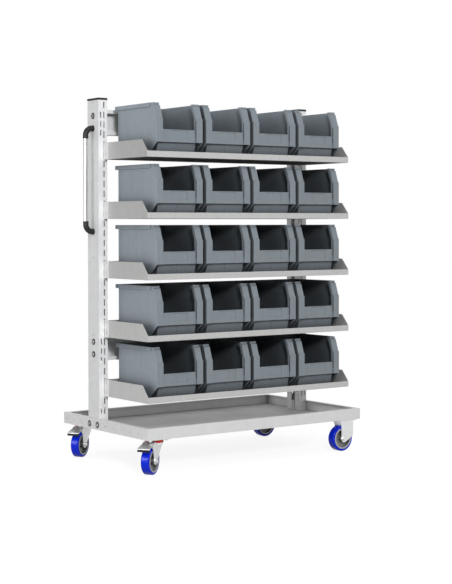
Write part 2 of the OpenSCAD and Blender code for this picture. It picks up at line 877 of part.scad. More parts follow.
// Axle bolt and pedal pin
module swivel_pins(place) {
    reach = leg_y + fork_t;
    color(zinc) swivel_at(place) {
        axle_bolt(trail);
        bar_y(pedal_x, -reach, pedal_z, 2 * reach, pedal_pin_r);
    }
}

// Solid tyre with rounded edges
module tyre(x) {
    round_r = tyre_t / 2;
    half = tyre_w / 2;
    color(tyre_blue) translate([x, 0, axle_z]) rotate([90, 0, 0]) rotate_extrude() {
        translate([hub_r, -half]) square([tyre_t - round_r, tyre_w]);
        translate([hub_r, round_r - half]) square([tyre_t, tyre_w - 2 * round_r]);
        for (y = [round_r - half, half - round_r])
            translate([hub_r + tyre_t - round_r, y]) circle(r = round_r);
    }
}

// Wheel hub: rim, web and boss
module hub(x) {
    bore = axle_r + run_gap;
    rim_in = hub_r - 6;
    rim_out_r = hub_r - run_gap;
    rim_half = tyre_w / 2 + 0.5;
    web_half = 4;
    color(hub_grey) translate([x, 0, axle_z]) rotate([90, 0, 0]) rotate_extrude()
        polygon([[bore, -hub_half], [boss_r, -hub_half], [boss_r, -web_half], [rim_in, -web_half],
            [rim_in, -rim_half], [rim_out_r, -rim_half], [rim_out_r, rim_half], [rim_in, rim_half],
            [rim_in, web_half], [boss_r, web_half], [boss_r, hub_half], [bore, hub_half]]);
}

// Brake pedal: a barrel on the pedal pin, a sloped plate, a turned-down tip and a brake shoe
module swivel_pedal(place) {
    barrel_half = leg_y - part_gap;
    shoe_half = tyre_w / 2 - 4;
    end = pedal_l - pedal_t;
    tip_z = pedal_top(pedal_l) - pedal_tip;
    color(zinc) swivel_at(place) translate([pedal_x, 0, pedal_z]) difference() {
        union() {
            bar_y(0, -barrel_half, 0, 2 * barrel_half, pedal_barrel_r);
            run_y(-barrel_half, barrel_half) polygon([[0, pedal_top(0) - pedal_t], [0, pedal_top(0)],
                [pedal_neck, pedal_top(pedal_neck)], [pedal_neck, pedal_top(pedal_neck) - pedal_t]]);
            run_y(-pedal_w / 2, pedal_w / 2) polygon([[pedal_neck, pedal_top(pedal_neck)],
                [pedal_l, pedal_top(pedal_l)], [pedal_l, tip_z], [end, tip_z],
                [end, pedal_top(end) - pedal_t], [pedal_neck, pedal_top(pedal_neck) - pedal_t]]);
            run_y(-shoe_half, shoe_half) polygon(pedal_shoe);
        }
        bar_y(0, -barrel_half - past, 0, 2 * (barrel_half + past), pedal_pin_r + run_gap);
    }
}

// Leg of a fixed fork, drawn about the axle
module fixed_leg_profile() {
    top = plate_z + plate_t / 2;
    back = -11;
    foot = axle_z - boss_r - 2;
    front = fixed_shift + fixed_leg;
    polygon([[2 * back, top], [front, top], [front - 2, axle_z + 9], [8, foot], [-4, foot], [back, axle_z],
        [back, crown_z - 4]]);
}

module fixed_fork(place) {
    reach = leg_y + fork_t;
    color(zinc) fixed_at(place) difference() {
        union() {
            translate([fixed_shift, 0, 0]) castor_plate(fixed_plate, fixed_bolts);
            for (side = [-1, 1]) mirror([0, side < 0 ? 1 : 0, 0])
                run_y(leg_y, reach) fixed_leg_profile();
        }
        bar_y(0, -reach - past, axle_z, 2 * (reach + past), axle_r + run_gap);
    }
}

// Node choice

// A swivel castor piece by name
module swivel_piece(place, piece) {
    if (piece == "plate") swivel_plate_part(place);
    if (piece == "seal") swivel_seal(place);
    if (piece == "fork") swivel_fork(place);
    if (piece == "pins") swivel_pins(place);
    if (piece == "tyre") swivel_at(place) tyre(trail);
    if (piece == "hub") swivel_at(place) hub(trail);
    if (piece == "pedal") swivel_pedal(place);
}

// A fixed castor piece by name
module fixed_piece(place, piece) {
    if (piece == "fork") fixed_fork(place);
    if (piece == "axle") color(zinc) fixed_at(place) axle_bolt(0);
    if (piece == "tyre") fixed_at(place) tyre(0);
    if (piece == "hub") fixed_at(place) hub(0);
}

tray_deck();
tray_rim();
left_post();
right_post();
post_caps();
top_beam();
lower_beam();
handle_tube();
handle_ends();
shelf_brackets();
post_feet();
frame_bolts();
castor_bolts();
for (row = [1 : rows])
    shelf(row);
for (row = [1 : rows]) for (column = [1 : columns])
    bin(row, column);
for (place = places) for (piece = swivel_parts)
    swivel_piece(place, piece);
for (place = places) for (piece = fixed_parts)
    fixed_piece(place, piece);
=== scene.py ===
"""Looks of the mobile bin cart: finishes, small moulded and turned details, floor, light and camera."""
import json
import math

import bpy
from mathutils import Euler, Matrix, Vector


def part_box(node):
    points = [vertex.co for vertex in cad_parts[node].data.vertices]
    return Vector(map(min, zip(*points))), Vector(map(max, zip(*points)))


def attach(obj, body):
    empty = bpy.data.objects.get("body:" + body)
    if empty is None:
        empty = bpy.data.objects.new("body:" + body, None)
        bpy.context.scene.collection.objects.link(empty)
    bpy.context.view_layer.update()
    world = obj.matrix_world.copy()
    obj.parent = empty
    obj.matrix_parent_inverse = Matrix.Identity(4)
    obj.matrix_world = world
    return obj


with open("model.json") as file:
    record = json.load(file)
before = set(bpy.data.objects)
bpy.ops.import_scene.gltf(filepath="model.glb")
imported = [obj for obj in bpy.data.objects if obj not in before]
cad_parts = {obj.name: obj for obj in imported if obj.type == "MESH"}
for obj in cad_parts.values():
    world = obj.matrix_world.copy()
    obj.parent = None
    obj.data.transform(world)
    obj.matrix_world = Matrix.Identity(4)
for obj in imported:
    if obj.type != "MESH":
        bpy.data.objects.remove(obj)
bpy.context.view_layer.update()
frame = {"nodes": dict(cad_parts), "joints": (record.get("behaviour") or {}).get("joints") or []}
nodes = frame["nodes"]
joints = {joint["name"]: joint for joint in frame["joints"]}
bpy.ops.object.select_all(action="DESELECT")

MM = 0.001
ROWS = 5
COLUMNS = 4
PLACES = ("front", "rear")
KINDS = ("swivel", "fixed")


# Node helpers

def wire(tree, source, target):
    """Joins an output to an input."""
    tree.links.new(source, target)


def feed(tree, value, target):
    """Gives an input a fixed number or the output of another node."""
    if isinstance(value, (int, float)):
        target.default_value = value
    else:
        wire(tree, value, target)


def sums(tree, kind, a, b=None):
    """One Math node; a and b are outputs or numbers."""
    node = tree.nodes.new("ShaderNodeMath")
    node.operation = kind
    feed(tree, a, node.inputs[0])
    if b is not None:
        feed(tree, b, node.inputs[1])
    return node.outputs[0]


def times(tree, first, *others):
    """The product of outputs and numbers."""
    for other in others:
        first = sums(tree, "MULTIPLY", first, other)
    return first


def rest_of(tree, value):
    """What is left of 1."""
    return sums(tree, "SUBTRACT", 1.0, value)


def spread(tree, value, span, wanted):
    """A value within one span brought to another; the ends are numbers or outputs."""
    node = tree.nodes.new("ShaderNodeMapRange")
    wire(tree, value, node.inputs["Value"])
    for label, end in zip(("From Min", "From Max", "To Min", "To Max"), (*span, *wanted)):
        feed(tree, end, node.inputs[label])
    return node.outputs["Result"]


def along(tree, vector, direction):
    """How far a vector points along a direction."""
    dot = tree.nodes.new("ShaderNodeVectorMath")
    dot.operation = "DOT_PRODUCT"
    wire(tree, vector, dot.inputs[0])
    if isinstance(direction, tuple):
        dot.inputs[1].default_value = direction
    else:
        wire(tree, direction, dot.inputs[1])
    return dot.outputs["Value"]


def split_axes(tree, vector):
    """The X, Y and Z of a vector."""
    split = tree.nodes.new("ShaderNodeSeparateXYZ")
    wire(tree, vector, split.inputs[0])
    return split.outputs


def face_direction(tree):
    """The way a face looks."""
    return tree.nodes.new("ShaderNodeNewGeometry").outputs["Normal"]


# Effects shared by the finishes

NOISE_SPAN = (0.3, 0.7)
MASK = (0.0, 1.0)
UPRIGHT_STREAKS = (1, 1, 0.05)
UPRIGHT_LINES = (1, 1, 0.03)
LINES_SHARE = 0.35
PATCHES_SHARE = 0.65


def new_effect(name, inputs, outputs):
    """An empty node group with number inputs and outputs; returns it, what it is given and what it gives."""
    group = bpy.data.node_groups.new(name, "ShaderNodeTree")
    for in_out, labels in (("INPUT", inputs), ("OUTPUT", outputs)):
        for label in labels:
            group.interface.new_socket(label, in_out=in_out, socket_type="NodeSocketFloat")
    return group, group.nodes.new("NodeGroupInput").outputs, group.nodes.new("NodeGroupOutput").inputs


def place_pattern(tree, stretch=(1, 1, 1)):
    """Object coordinates, stretched along the axes."""
    coordinates = tree.nodes.new("ShaderNodeTexCoord")
    mapping = tree.nodes.new("ShaderNodeMapping")
    mapping.inputs["Scale"].default_value = stretch
    wire(tree, coordinates.outputs["Object"], mapping.inputs["Vector"])
    return mapping.outputs["Vector"]


def mottle(tree, vector, per_metre, detail=3.0, roughness=0.5):
    """Soft random spots, so many per metre."""
    noise = tree.nodes.new("ShaderNodeTexNoise")
    noise.inputs["Detail"].default_value = detail
    noise.inputs["Roughness"].default_value = roughness
    feed(tree, per_metre, noise.inputs["Scale"])
    wire(tree, vector, noise.inputs["Vector"])
    return noise.outputs["Fac"]


def vary(tree, pattern, span, amount):
    """A tone around 1 that follows a pattern, darker and lighter by the amount."""
    return spread(tree, pattern, span, (rest_of(tree, amount), sums(tree, "ADD", 1.0, amount)))


def make_coat_peel():
    """Orange peel of a powder coat: fine waves for the bump, broad cloudiness for the tone."""
    group, given, result = new_effect("coat_peel", ["Waves per metre", "Cloudiness"], ["Height", "Tone"])
    vector = place_pattern(group)
    wire(group, mottle(group, vector, given["Waves per metre"], detail=2.0), result["Height"])
    clouds = mottle(group, vector, per_metre=7.0, detail=4.0)
    wire(group, vary(group, clouds, NOISE_SPAN, given["Cloudiness"]), result["Tone"])
    return group


def make_mould_grain():
    """Grain of a moulded plastic: fine spark texture and faint upright draw marks."""
    group, given, result = new_effect("mould_grain", ["Grains per metre", "Draw marks"], ["Height", "Tone"])
    fine = mottle(group, place_pattern(group), given["Grains per metre"], roughness=0.6)
    wire(group, fine, result["Height"])
    streaks = mottle(group, place_pattern(group, UPRIGHT_STREAKS), per_metre=120.0)
    wire(group, vary(group, streaks, NOISE_SPAN, given["Draw marks"]), result["Tone"])
    return group


def make_rolled_grain():
    """Rolled or drawn metal under plating: fine lines along Z and cloudy patches."""
    group, given, result = new_effect("rolled_grain", ["Lines per metre", "Patchiness"], ["Height", "Tone"])
    lines = mottle(group, place_pattern(group, UPRIGHT_LINES), given["Lines per metre"], detail=2.0)
    wire(group, lines, result["Height"])
    patches = mottle(group, place_pattern(group), per_metre=45.0, detail=5.0, roughness=0.6)
    both = sums(group, "ADD", times(group, lines, LINES_SHARE), times(group, patches, PATCHES_SHARE))
    wire(group, vary(group, both, (0.35, 0.65), given["Patchiness"]), result["Tone"])
    return group


def make_edge_rub():
    """Where edges are rubbed by handling: 1 on worn edges, 0 on open faces."""
    group, given, result = new_effect("edge_rub", ["Width", "Amount"], ["Mask"])
    rounded = group.nodes.new("ShaderNodeBevel")
    rounded.samples = 4
    wire(group, given["Width"], rounded.inputs["Radius"])
    flatness = along(group, rounded.outputs["Normal"], face_direction(group))
    edge = spread(group, flatness, (0.995, 0.85), MASK)
    spots = mottle(group, place_pattern(group), per_metre=160.0, detail=4.0)
    broken = spread(group, spots, (0.42, 0.62), MASK)
    wire(group, times(group, edge, broken, given["Amount"]), result["Mask"])
    return group


def make_settled_dust():
    """Thin dust on faces that look up, in soft patches."""
    group, given, result = new_effect("settled_dust", ["Amount"], ["Mask"])
    up = spread(group, split_axes(group, face_direction(group))["Z"], (0.5, 1.0), MASK)
    spots = mottle(group, place_pattern(group), per_metre=14.0, detail=5.0, roughness=0.65)
    patches = spread(group, spots, (0.4, 0.7), MASK)
    wire(group, times(group, up, patches, given["Amount"]), result["Mask"])
    return group


def make_painted_hollow_shade():
    """Painted shade in hollows, creases and recesses, from ambient occlusion: 1 in the open, down to Darkest
    where a place is tucked away.
    """
    group, given, result = new_effect("painted_hollow_shade", ["Reach", "Open at", "Darkest"], ["Tone"])
    hollow = group.nodes.new("ShaderNodeAmbientOcclusion")
    hollow.samples = 8
    wire(group, given["Reach"], hollow.inputs["Distance"])
    # Painted shade: the colour darkens where ambient occlusion finds the place tucked away
    tone = spread(group, hollow.outputs["AO"], (0.08, given["Open at"]), (given["Darkest"], 1.0))
    spots = mottle(group, place_pattern(group), per_metre=30.0, detail=4.0)
    uneven = spread(group, spots, NOISE_SPAN, (0.985, 1.015))
    wire(group, times(group, tone, uneven), result["Tone"])
    return group


def make_painted_facing_shade():
    """Painted shade by the way a face looks: darker on faces towards either end along X, on faces towards -Y
    and on undersides, as light falls less on them.
    """
    group, given, result = new_effect("painted_facing_shade", ["Ends", "Fronts", "Underside"], ["Tone"])
    look = split_axes(group, face_direction(group))
    ends = spread(group, sums(group, "ABSOLUTE", look["X"]), (0.6, 0.95), MASK)
    fronts = spread(group, look["Y"], (-0.5, -0.9), MASK)
    under = spread(group, look["Z"], (-0.4, -0.9), MASK)
    # Painted shade: the Ends, Fronts and Underside amounts darken faces that look that way
    painted_shade_amount = sums(group, "ADD", times(group, ends, given["Ends"]), times(group, under, given["Underside"]))
    painted_shade_amount = sums(group, "ADD", painted_shade_amount, times(group, fronts, given["Fronts"]))
    wire(group, rest_of(group, painted_shade_amount), result["Tone"])
    return group


COAT_PEEL = make_coat_peel()
MOULD_GRAIN = make_mould_grain()
ROLLED_GRAIN = make_rolled_grain()
EDGE_RUB = make_edge_rub()
SETTLED_DUST = make_settled_dust()
PAINTED_HOLLOW_SHADE = make_painted_hollow_shade()
PAINTED_FACING_SHADE = make_painted_facing_shade()


# Finishes

DUST_ON_PAINT = (0.42, 0.41, 0.39)
DUST_ON_PLASTIC = (0.44, 0.43, 0.41)
BARE_METAL = (0.9, 0.9, 0.9)
RUBBED_PAINT = 1.04
# How much duller the faces darkened by painted shade are made
SHADED_FACES_DULL = 0.75

# The colour sockets of a Mix node, which have the same labels as its other sockets
MIX_UNDER = 6
MIX_OVER = 7
MIX_RESULT = 2


class Finish:
    """A new material with its shader, and the few moves that every finish here needs."""

    def __init__(self, name, metallic=0.0, specular=0.5):
        self.material = bpy.data.materials.new(name)
        self.material.use_nodes = True
        self.tree = self.material.node_tree
        self.shader = self.tree.nodes["Principled BSDF"]
        self.shader.inputs["Metallic"].default_value = metallic
        self.shader.inputs["Specular IOR Level"].default_value = specular

    def effect(self, group, **values):
        """A shared effect with this finish's own values."""
        node = self.tree.nodes.new("ShaderNodeGroup")
        node.node_tree = group
        for label, value in values.items():
            node.inputs[label.replace("_", " ")].default_value = value
        return node.outputs

    def toned(self, colour, tone):
        """The colour made lighter or darker by a tone around 1."""
        node = self.tree.nodes.new("ShaderNodeHueSaturation")
        node.inputs["Color"].default_value = (*colour, 1)
        wire(self.tree, tone, node.inputs["Value"])
        return node.outputs["Color"]

    def over(self, mask, under, colour):
        """A colour laid over another where the mask is 1."""
        node = self.tree.nodes.new("ShaderNodeMix")
        node.data_type = "RGBA"
        wire(self.tree, mask, node.inputs["Factor"])
        wire(self.tree, under, node.inputs[MIX_UNDER])
        node.inputs[MIX_OVER].default_value = (*colour, 1)
        return node.outputs[MIX_RESULT]

    def bump(self, height, depth, strength):
        """Raises the surface by a pattern; the depth is in metres."""
        node = self.tree.nodes.new("ShaderNodeBump")
        node.inputs["Distance"].default_value = depth
        node.inputs["Strength"].default_value = strength
        wire(self.tree, height, node.inputs["Height"])
        wire(self.tree, node.outputs["Normal"], self.shader.inputs["Normal"])

    def paint(self, colour, roughness):
        """Gives the shader its colour and roughness; returns the material."""
        wire(self.tree, colour, self.shader.inputs["Base Color"])
        wire(self.tree, roughness, self.shader.inputs["Roughness"])
        return self.material


def powder_coat(name, colour, rough, cloudiness, darkest, flake=0.0, reach=0.06, ends=0.0, under=0.3):
    """Satin powder coat on sheet steel, with metal flake where it is given; painted shade darkens it in
    hollows, in creases and on faces by their direction, and the faces so darkened are also duller.
    """
    f = Finish(name, metallic=flake, specular=0.4)
    # Painted shade: hollows, creases, side faces and undersides darkened in the base colour
    hollow = f.effect(PAINTED_HOLLOW_SHADE, Reach=reach, Open_at=0.4, Darkest=darkest)
    corner = f.effect(PAINTED_HOLLOW_SHADE, Reach=0.006, Open_at=0.85, Darkest=0.2)
    facing = f.effect(PAINTED_FACING_SHADE, Ends=ends, Fronts=0.0, Underside=under)
    peel = f.effect(COAT_PEEL, Waves_per_metre=480.0, Cloudiness=cloudiness)
    rub = f.effect(EDGE_RUB, Width=0.0012, Amount=0.35)
    dust = f.effect(SETTLED_DUST, Amount=0.06)
    painted_shade_tone = times(f.tree, hollow["Tone"], corner["Tone"], facing["Tone"])
    base = f.toned(colour, times(f.tree, peel["Tone"], painted_shade_tone))
    base = f.over(dust["Mask"], base, DUST_ON_PAINT)
    base = f.over(rub["Mask"], base, tuple(min(1.0, RUBBED_PAINT * c) for c in colour))
    f.bump(peel["Height"], depth=0.00012, strength=0.35)
    gloss = spread(f.tree, peel["Height"], NOISE_SPAN, (rough - 0.05, rough + 0.06))
    dulled = times(f.tree, rest_of(f.tree, facing["Tone"]), SHADED_FACES_DULL)
    return f.paint(base, sums(f.tree, "ADD", gloss, dulled))


def moulded(name, colour, rough, rubbed, darkest=0.5, open_at=0.42, crease=0.8, fronts=0.0):
    """Moulded plastic with a fine spark grain, darkened by painted shade in hollows, in creases and on
    fronts where given.
    """
    f = Finish(name, specular=0.42)
    # Painted shade: hollows, creases and faces towards -Y darkened in the base colour
    hollow = f.effect(PAINTED_HOLLOW_SHADE, Reach=0.25, Open_at=open_at, Darkest=darkest)
    corner = f.effect(PAINTED_HOLLOW_SHADE, Reach=0.005, Open_at=0.8, Darkest=crease)
    facing = f.effect(PAINTED_FACING_SHADE, Ends=0.0, Fronts=fronts, Underside=0.0)
    mould = f.effect(MOULD_GRAIN, Grains_per_metre=850.0, Draw_marks=0.04)
    rub = f.effect(EDGE_RUB, Width=0.0016, Amount=0.45)
    dust = f.effect(SETTLED_DUST, Amount=0.14)
    painted_shade_tone = times(f.tree, hollow["Tone"], corner["Tone"], facing["Tone"])
    base = f.toned(colour, times(f.tree, mould["Tone"], painted_shade_tone))
    base = f.over(dust["Mask"], base, DUST_ON_PLASTIC)
    base = f.over(rub["Mask"], base, rubbed)
    f.bump(mould["Height"], depth=0.00015, strength=0.4)
    return f.paint(base, spread(f.tree, mould["Height"], NOISE_SPAN, (rough - 0.06, rough + 0.08)))


def plated(name, colour, rough, patchiness=0.07):
    """Plated or anodised metal with the rolling lines of the sheet below, bare where edges are rubbed."""
    f = Finish(name, metallic=1.0)
    grain = f.effect(ROLLED_GRAIN, Lines_per_metre=1100.0, Patchiness=patchiness)
    rub = f.effect(EDGE_RUB, Width=0.001, Amount=0.5)
    base = f.toned(colour, grain["Tone"])
    base = f.over(rub["Mask"], base, BARE_METAL)
    f.bump(grain["Height"], depth=0.00005, strength=0.3)
    return f.paint(base, spread(f.tree, grain["Tone"], (0.9, 1.1), (rough + 0.07, rough - 0.05)))


def cast_tread(name, colour, scuffed):
    """Cast tyre: smooth and glossy, scuffed along its edges."""
    f = Finish(name, specular=0.17)
    mould = f.effect(MOULD_GRAIN, Grains_per_metre=600.0, Draw_marks=0.05)
    rub = f.effect(EDGE_RUB, Width=0.003, Amount=0.25)
    base = f.toned(colour, mould["Tone"])
    base = f.over(rub["Mask"], base, scuffed)
    f.bump(mould["Height"], depth=0.0001, strength=0.25)
    return f.paint(base, spread(f.tree, mould["Height"], NOISE_SPAN, (0.12, 0.2)))


# Painted shade: darkest, crease, ends, under and fronts darken hollows, creases, post webs, shelf
# undersides, bin fronts and hub insides in each colour
WHITE_COAT = powder_coat("white_coat", (0.93, 0.935, 0.94), rough=0.4, cloudiness=0.004, darkest=0.95,
                         reach=0.03, ends=0.14)
SHELF_COAT = powder_coat("shelf_coat", (0.58, 0.58, 0.575), rough=0.3, cloudiness=0.008, darkest=0.3,
                         flake=0.4, under=0.85)
RIM_COAT = powder_coat("rim_coat", (0.79, 0.795, 0.79), rough=0.36, cloudiness=0.02, darkest=0.55,
                       flake=0.2, reach=0.1, ends=0.03)
DECK_COAT = powder_coat("deck_coat", (0.60, 0.60, 0.595), rough=0.5, cloudiness=0.1, darkest=0.95,
                        flake=0.15)
BIN_PLASTIC = moulded("bin_plastic", (0.315, 0.362, 0.402), rough=0.5, rubbed=(0.38, 0.41, 0.43),
                      darkest=0.16, open_at=0.8, crease=0.4, fronts=0.24)
BLACK_PLASTIC = moulded("black_plastic", (0.009, 0.009, 0.010), rough=0.5, rubbed=(0.03, 0.03, 0.03))
HUB_GREY = moulded("hub_grey", (0.30, 0.30, 0.295), rough=0.42, rubbed=(0.3, 0.3, 0.3), darkest=0.1)
RING_GREY = moulded("ring_grey", (0.50, 0.50, 0.55), rough=0.35, rubbed=(0.7, 0.7, 0.72))
SEAL_RED = moulded("seal_red", (0.62, 0.010, 0.006), rough=0.4, rubbed=(0.7, 0.05, 0.04))
ZINC = plated("zinc", (0.82, 0.825, 0.83), rough=0.34)
HANDLE_METAL = plated("handle_metal", (0.74, 0.75, 0.76), rough=0.16, patchiness=0.03)
BOLT_STEEL = plated("bolt_steel", (0.34, 0.34, 0.345), rough=0.26)
# Painted shade: the near-black washers stand in for the shaded hollow round each bolt head
WASHER_SHADE_BLACK = plated("washer_painted_shade", (0.06, 0.06, 0.062), rough=0.45)
TYRE_BLUE = cast_tread("tyre_blue", (0.0003, 0.022, 0.70), scuffed=(0.002, 0.03, 0.7))


# The solid pieces: soft edges and finishes

MERGE_WITHIN = 0.00001
ROUND_FROM = math.radians(32)
SHADING_WEIGHT = 60


def soft_edges(piece, width, segments):
    """Merges a piece's triangles, rounds its edges and evens the shading."""
    weld = piece.modifiers.new("merge_corners", "WELD")
    weld.merge_threshold = MERGE_WITHIN
    bevel = piece.modifiers.new("round_edges", "BEVEL")
    bevel.width = width
    bevel.segments = segments
    bevel.limit_method = "ANGLE"
    bevel.angle_limit = ROUND_FROM
    bevel.harden_normals = False
    even = piece.modifiers.new("even_shading", "WEIGHTED_NORMAL")
    even.keep_sharp = True
    even.weight = SHADING_WEIGHT


def dress(node, finish, round_mm=0, segments=2):
    """Gives a node its finish, and soft edges where a width is given."""
    piece = nodes[node]
    piece.data.materials.clear()
    piece.data.materials.append(finish)
    if round_mm:
        soft_edges(piece, round_mm * MM, segments)


def dress_rack():
    """Tray, posts, beams, handle, shelves and bins."""
    dress("tray_deck", DECK_COAT)
    dress("tray_rim", RIM_COAT)
    for node in ("left_post", "right_post", "top_beam", "lower_beam", "shelf_brackets"):
        dress(node, WHITE_COAT)
    dress("post_caps", BLACK_PLASTIC, round_mm=1.0)
    dress("handle_ends", BLACK_PLASTIC, round_mm=0.8)
    dress("handle_tube", HANDLE_METAL, round_mm=0.3)
    dress("frame_bolts", BOLT_STEEL, round_mm=0.5)
    dress("post_feet", ZINC, round_mm=0.5)
    for row in range(1, ROWS + 1):
        dress("shelf_%d" % row, SHELF_COAT, round_mm=0.8)
        for column in range(1, COLUMNS + 1):
            dress("bin_%d_%d" % (row, column), BIN_PLASTIC, round_mm=0.7, segments=3)


def dress_castors():
    """Swivel and fixed castors with their bolts."""
    dress("castor_bolts", ZINC, round_mm=0.5)
    for place in PLACES:
        for part in ("plate", "fork", "pins", "pedal"):
            dress("%s_swivel_%s" % (place, part), ZINC, round_mm=0.7)
        for part in ("fork", "axle"):
            dress("%s_fixed_%s" % (place, part), ZINC, round_mm=0.7)
        dress(place + "_swivel_seal", SEAL_RED, round_mm=0.6)
        for kind in KINDS:
            dress("%s_%s_tyre" % (place, kind), TYRE_BLUE, round_mm=0.5)
            dress("%s_%s_hub" % (place, kind), HUB_GREY, round_mm=0.8)


dress_rack()
dress_castors()


# Small pieces: hub rings, pedal pads and bolt washers

SHARP_FROM = math.radians(40)
SMOOTH_UP_TO = math.radians(35)
RING_CORNERS = 72
LOOKS_UP = 0.9

# The hub ring's inner and outer edges, measured in from the hub's rim, and how far it stands off the tyre
HUB_RING_IN = 5.4 * MM
HUB_RING_OUT = 0.2 * MM
HUB_RING_THICK = 0.8 * MM
HUB_RING_EDGE = 0.3 * MM
HUB_RING_STAND = 0.4 * MM

# The pad's middle is given from the pedal pin, with the pedal along +X
PAD_MIDDLE = (51.2 * MM, 0, -21.2 * MM)
PAD_SIZE = (9.6 * MM, 47.0 * MM, 7.4 * MM)
PAD_MARGIN = 1.6 * MM
PAD_CROWN = 0.9 * MM
PAD_EDGE = 0.7 * MM

# The washer's inner and outer edges are radii
WASHER_INNER = 6.0 * MM
WASHER_OUTER = 12.0 * MM
WASHER_THICK = 0.8 * MM
WASHER_EDGE = 0.2 * MM
WASHER_SUNK = 0.1 * MM

# Bolts: beside the middle of the post, above the lower edge of the rim, and off the middle of a beam
RIM_BOLT_ASIDE = 28.75 * MM
RIM_BOLT_UP = 19.0 * MM
BEAM_BOLT_OFF = 23.5 * MM


def pick(piece):
    """Selects one piece alone and makes it the active one."""
    bpy.ops.object.select_all(action="DESELECT")
    piece.select_set(True)
    bpy.context.view_layer.objects.active = piece


def round_sharp_edges(width, segments):
    """Rounds the sharp edges of the piece in edit mode, leaves edit mode and evens the shading."""
    bpy.ops.mesh.select_all(action="DESELECT")
    bpy.ops.mesh.edges_select_sharp(sharpness=SHARP_FROM)
    bpy.ops.mesh.bevel(offset=width, segments=segments)
    bpy.ops.object.mode_set(mode="OBJECT")
    bpy.ops.object.shade_smooth_by_angle(angle=SMOOTH_UP_TO)


def flat_ring(name, inner, outer, thick, edge):
    """A flat ring about the origin with softened edges, from Z = 0 up."""
    bpy.ops.object.select_all(action="DESELECT")
    bpy.ops.mesh.primitive_circle_add(vertices=RING_CORNERS, radius=inner, fill_type="NOTHING")
    ring = bpy.context.object
    ring.name = name
    bpy.ops.object.mode_set(mode="EDIT")
    bpy.ops.mesh.select_all(action="SELECT")
    bpy.ops.mesh.extrude_region_move()
    bpy.ops.transform.resize(value=(outer / inner, outer / inner, 1), center_override=(0, 0, 0))
    bpy.ops.mesh.select_all(action="SELECT")
    bpy.ops.mesh.extrude_region_move(TRANSFORM_OT_translate={"value": (0, 0, thick)})
    bpy.ops.mesh.select_all(action="SELECT")
    bpy.ops.mesh.normals_make_consistent(inside=False)
    round_sharp_edges(edge, segments=2)
    return ring


def set_copy(model, name, place, turn, body, finish):
    """A copy of a modelled piece with its own mesh, set in its place and carried by a body."""
    pick(model)
    bpy.ops.object.duplicate(linked=False)
    piece = bpy.context.object
    piece.name = name
    piece.location = place
    piece.rotation_euler = turn
    bpy.ops.object.transform_apply(location=True, rotation=True, scale=True)
    piece.data.materials.clear()
    piece.data.materials.append(finish)
    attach(piece, body)


def put_away(model):
    """Removes the model that copies were taken from."""
    pick(model)
    bpy.ops.object.delete()


def set_hub_rings():
    """A pale ring on each side of each hub's rim, inside the tyre."""
    tyre_low, tyre_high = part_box("front_fixed_tyre")
    hub_low, hub_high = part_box("front_fixed_hub")
    tyre_half = (tyre_high.y - tyre_low.y) / 2
    hub_radius = (hub_high.z - hub_low.z) / 2
    model = flat_ring("hub_ring", hub_radius - HUB_RING_IN, hub_radius - HUB_RING_OUT, HUB_RING_THICK,
                      HUB_RING_EDGE)
    for place in PLACES:
        for kind in KINDS:
            wheel = "%s_%s_wheel" % (place, kind)
            spin = joints[wheel + "_spin"]
            for side, sign in (("outer", 1), ("inner", -1)):
                axle = Vector(spin["axis"]).normalized() * sign
                spot = Vector(spin["pos_m"]) + axle * (tyre_half + HUB_RING_STAND)
                turn = axle.to_track_quat("Z", "Y").to_euler()
                set_copy(model, "%s_%s_ring" % (wheel, side), spot, turn, wheel, RING_GREY)
    put_away(model)


def pedal_pad():
    """Rubber pad with a raised top, for the turned-down tip of a brake pedal."""
    bpy.ops.object.select_all(action="DESELECT")
    bpy.ops.mesh.primitive_cube_add(size=1, location=PAD_MIDDLE)
    pad = bpy.context.object
    pad.name = "pedal_pad"
    pad.scale = PAD_SIZE
    bpy.ops.object.transform_apply(location=True, rotation=True, scale=True)
    for face in pad.data.polygons:
        face.select = face.normal.z > LOOKS_UP
    for edge in pad.data.edges:
        edge.select = False
    bpy.ops.object.mode_set(mode="EDIT")
    bpy.ops.mesh.select_mode(type="FACE")
    bpy.ops.mesh.inset(thickness=PAD_MARGIN)
    bpy.ops.mesh.extrude_region_move(TRANSFORM_OT_translate={"value": (0, 0, PAD_CROWN)})
    bpy.ops.mesh.select_mode(type="EDGE")
    round_sharp_edges(PAD_EDGE, segments=3)
    return pad


def set_pedal_pads():
    """A pad on each brake pedal, turned the way the pedal points."""
    model = pedal_pad()
    for place in PLACES:
        press = joints[place + "_brake_press"]
        pin = Vector(press["axis"])
        turn = Euler((0, 0, math.atan2(-pin.x, pin.y)))
        set_copy(model, place + "_pedal_pad", Vector(press["pos_m"]), turn, place + "_brake",
                 BLACK_PLASTIC)
    put_away(model)


def middle(node):
    """The middle of a node's box."""
    low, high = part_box(node)
    return (low + high) / 2


def bolt_spots():
    """Bolt heads, the same at both ends, with X counted outwards: two on the rim, two at the lower beam and
    one at the top beam."""
    rim_low, rim_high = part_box("tray_rim")
    web_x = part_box("left_post")[0].x * -1
    post_y = middle("left_post").y
    lower_z = middle("lower_beam").z
    top_z = middle("top_beam").z
    rim_z = rim_low.z + RIM_BOLT_UP
    return [
        (rim_high.x, post_y - RIM_BOLT_ASIDE, rim_z),
        (rim_high.x, post_y + RIM_BOLT_ASIDE, rim_z),
        (web_x, post_y, lower_z - BEAM_BOLT_OFF),
        (web_x, post_y, lower_z + BEAM_BOLT_OFF),
        (web_x, post_y, top_z + BEAM_BOLT_OFF),
    ]


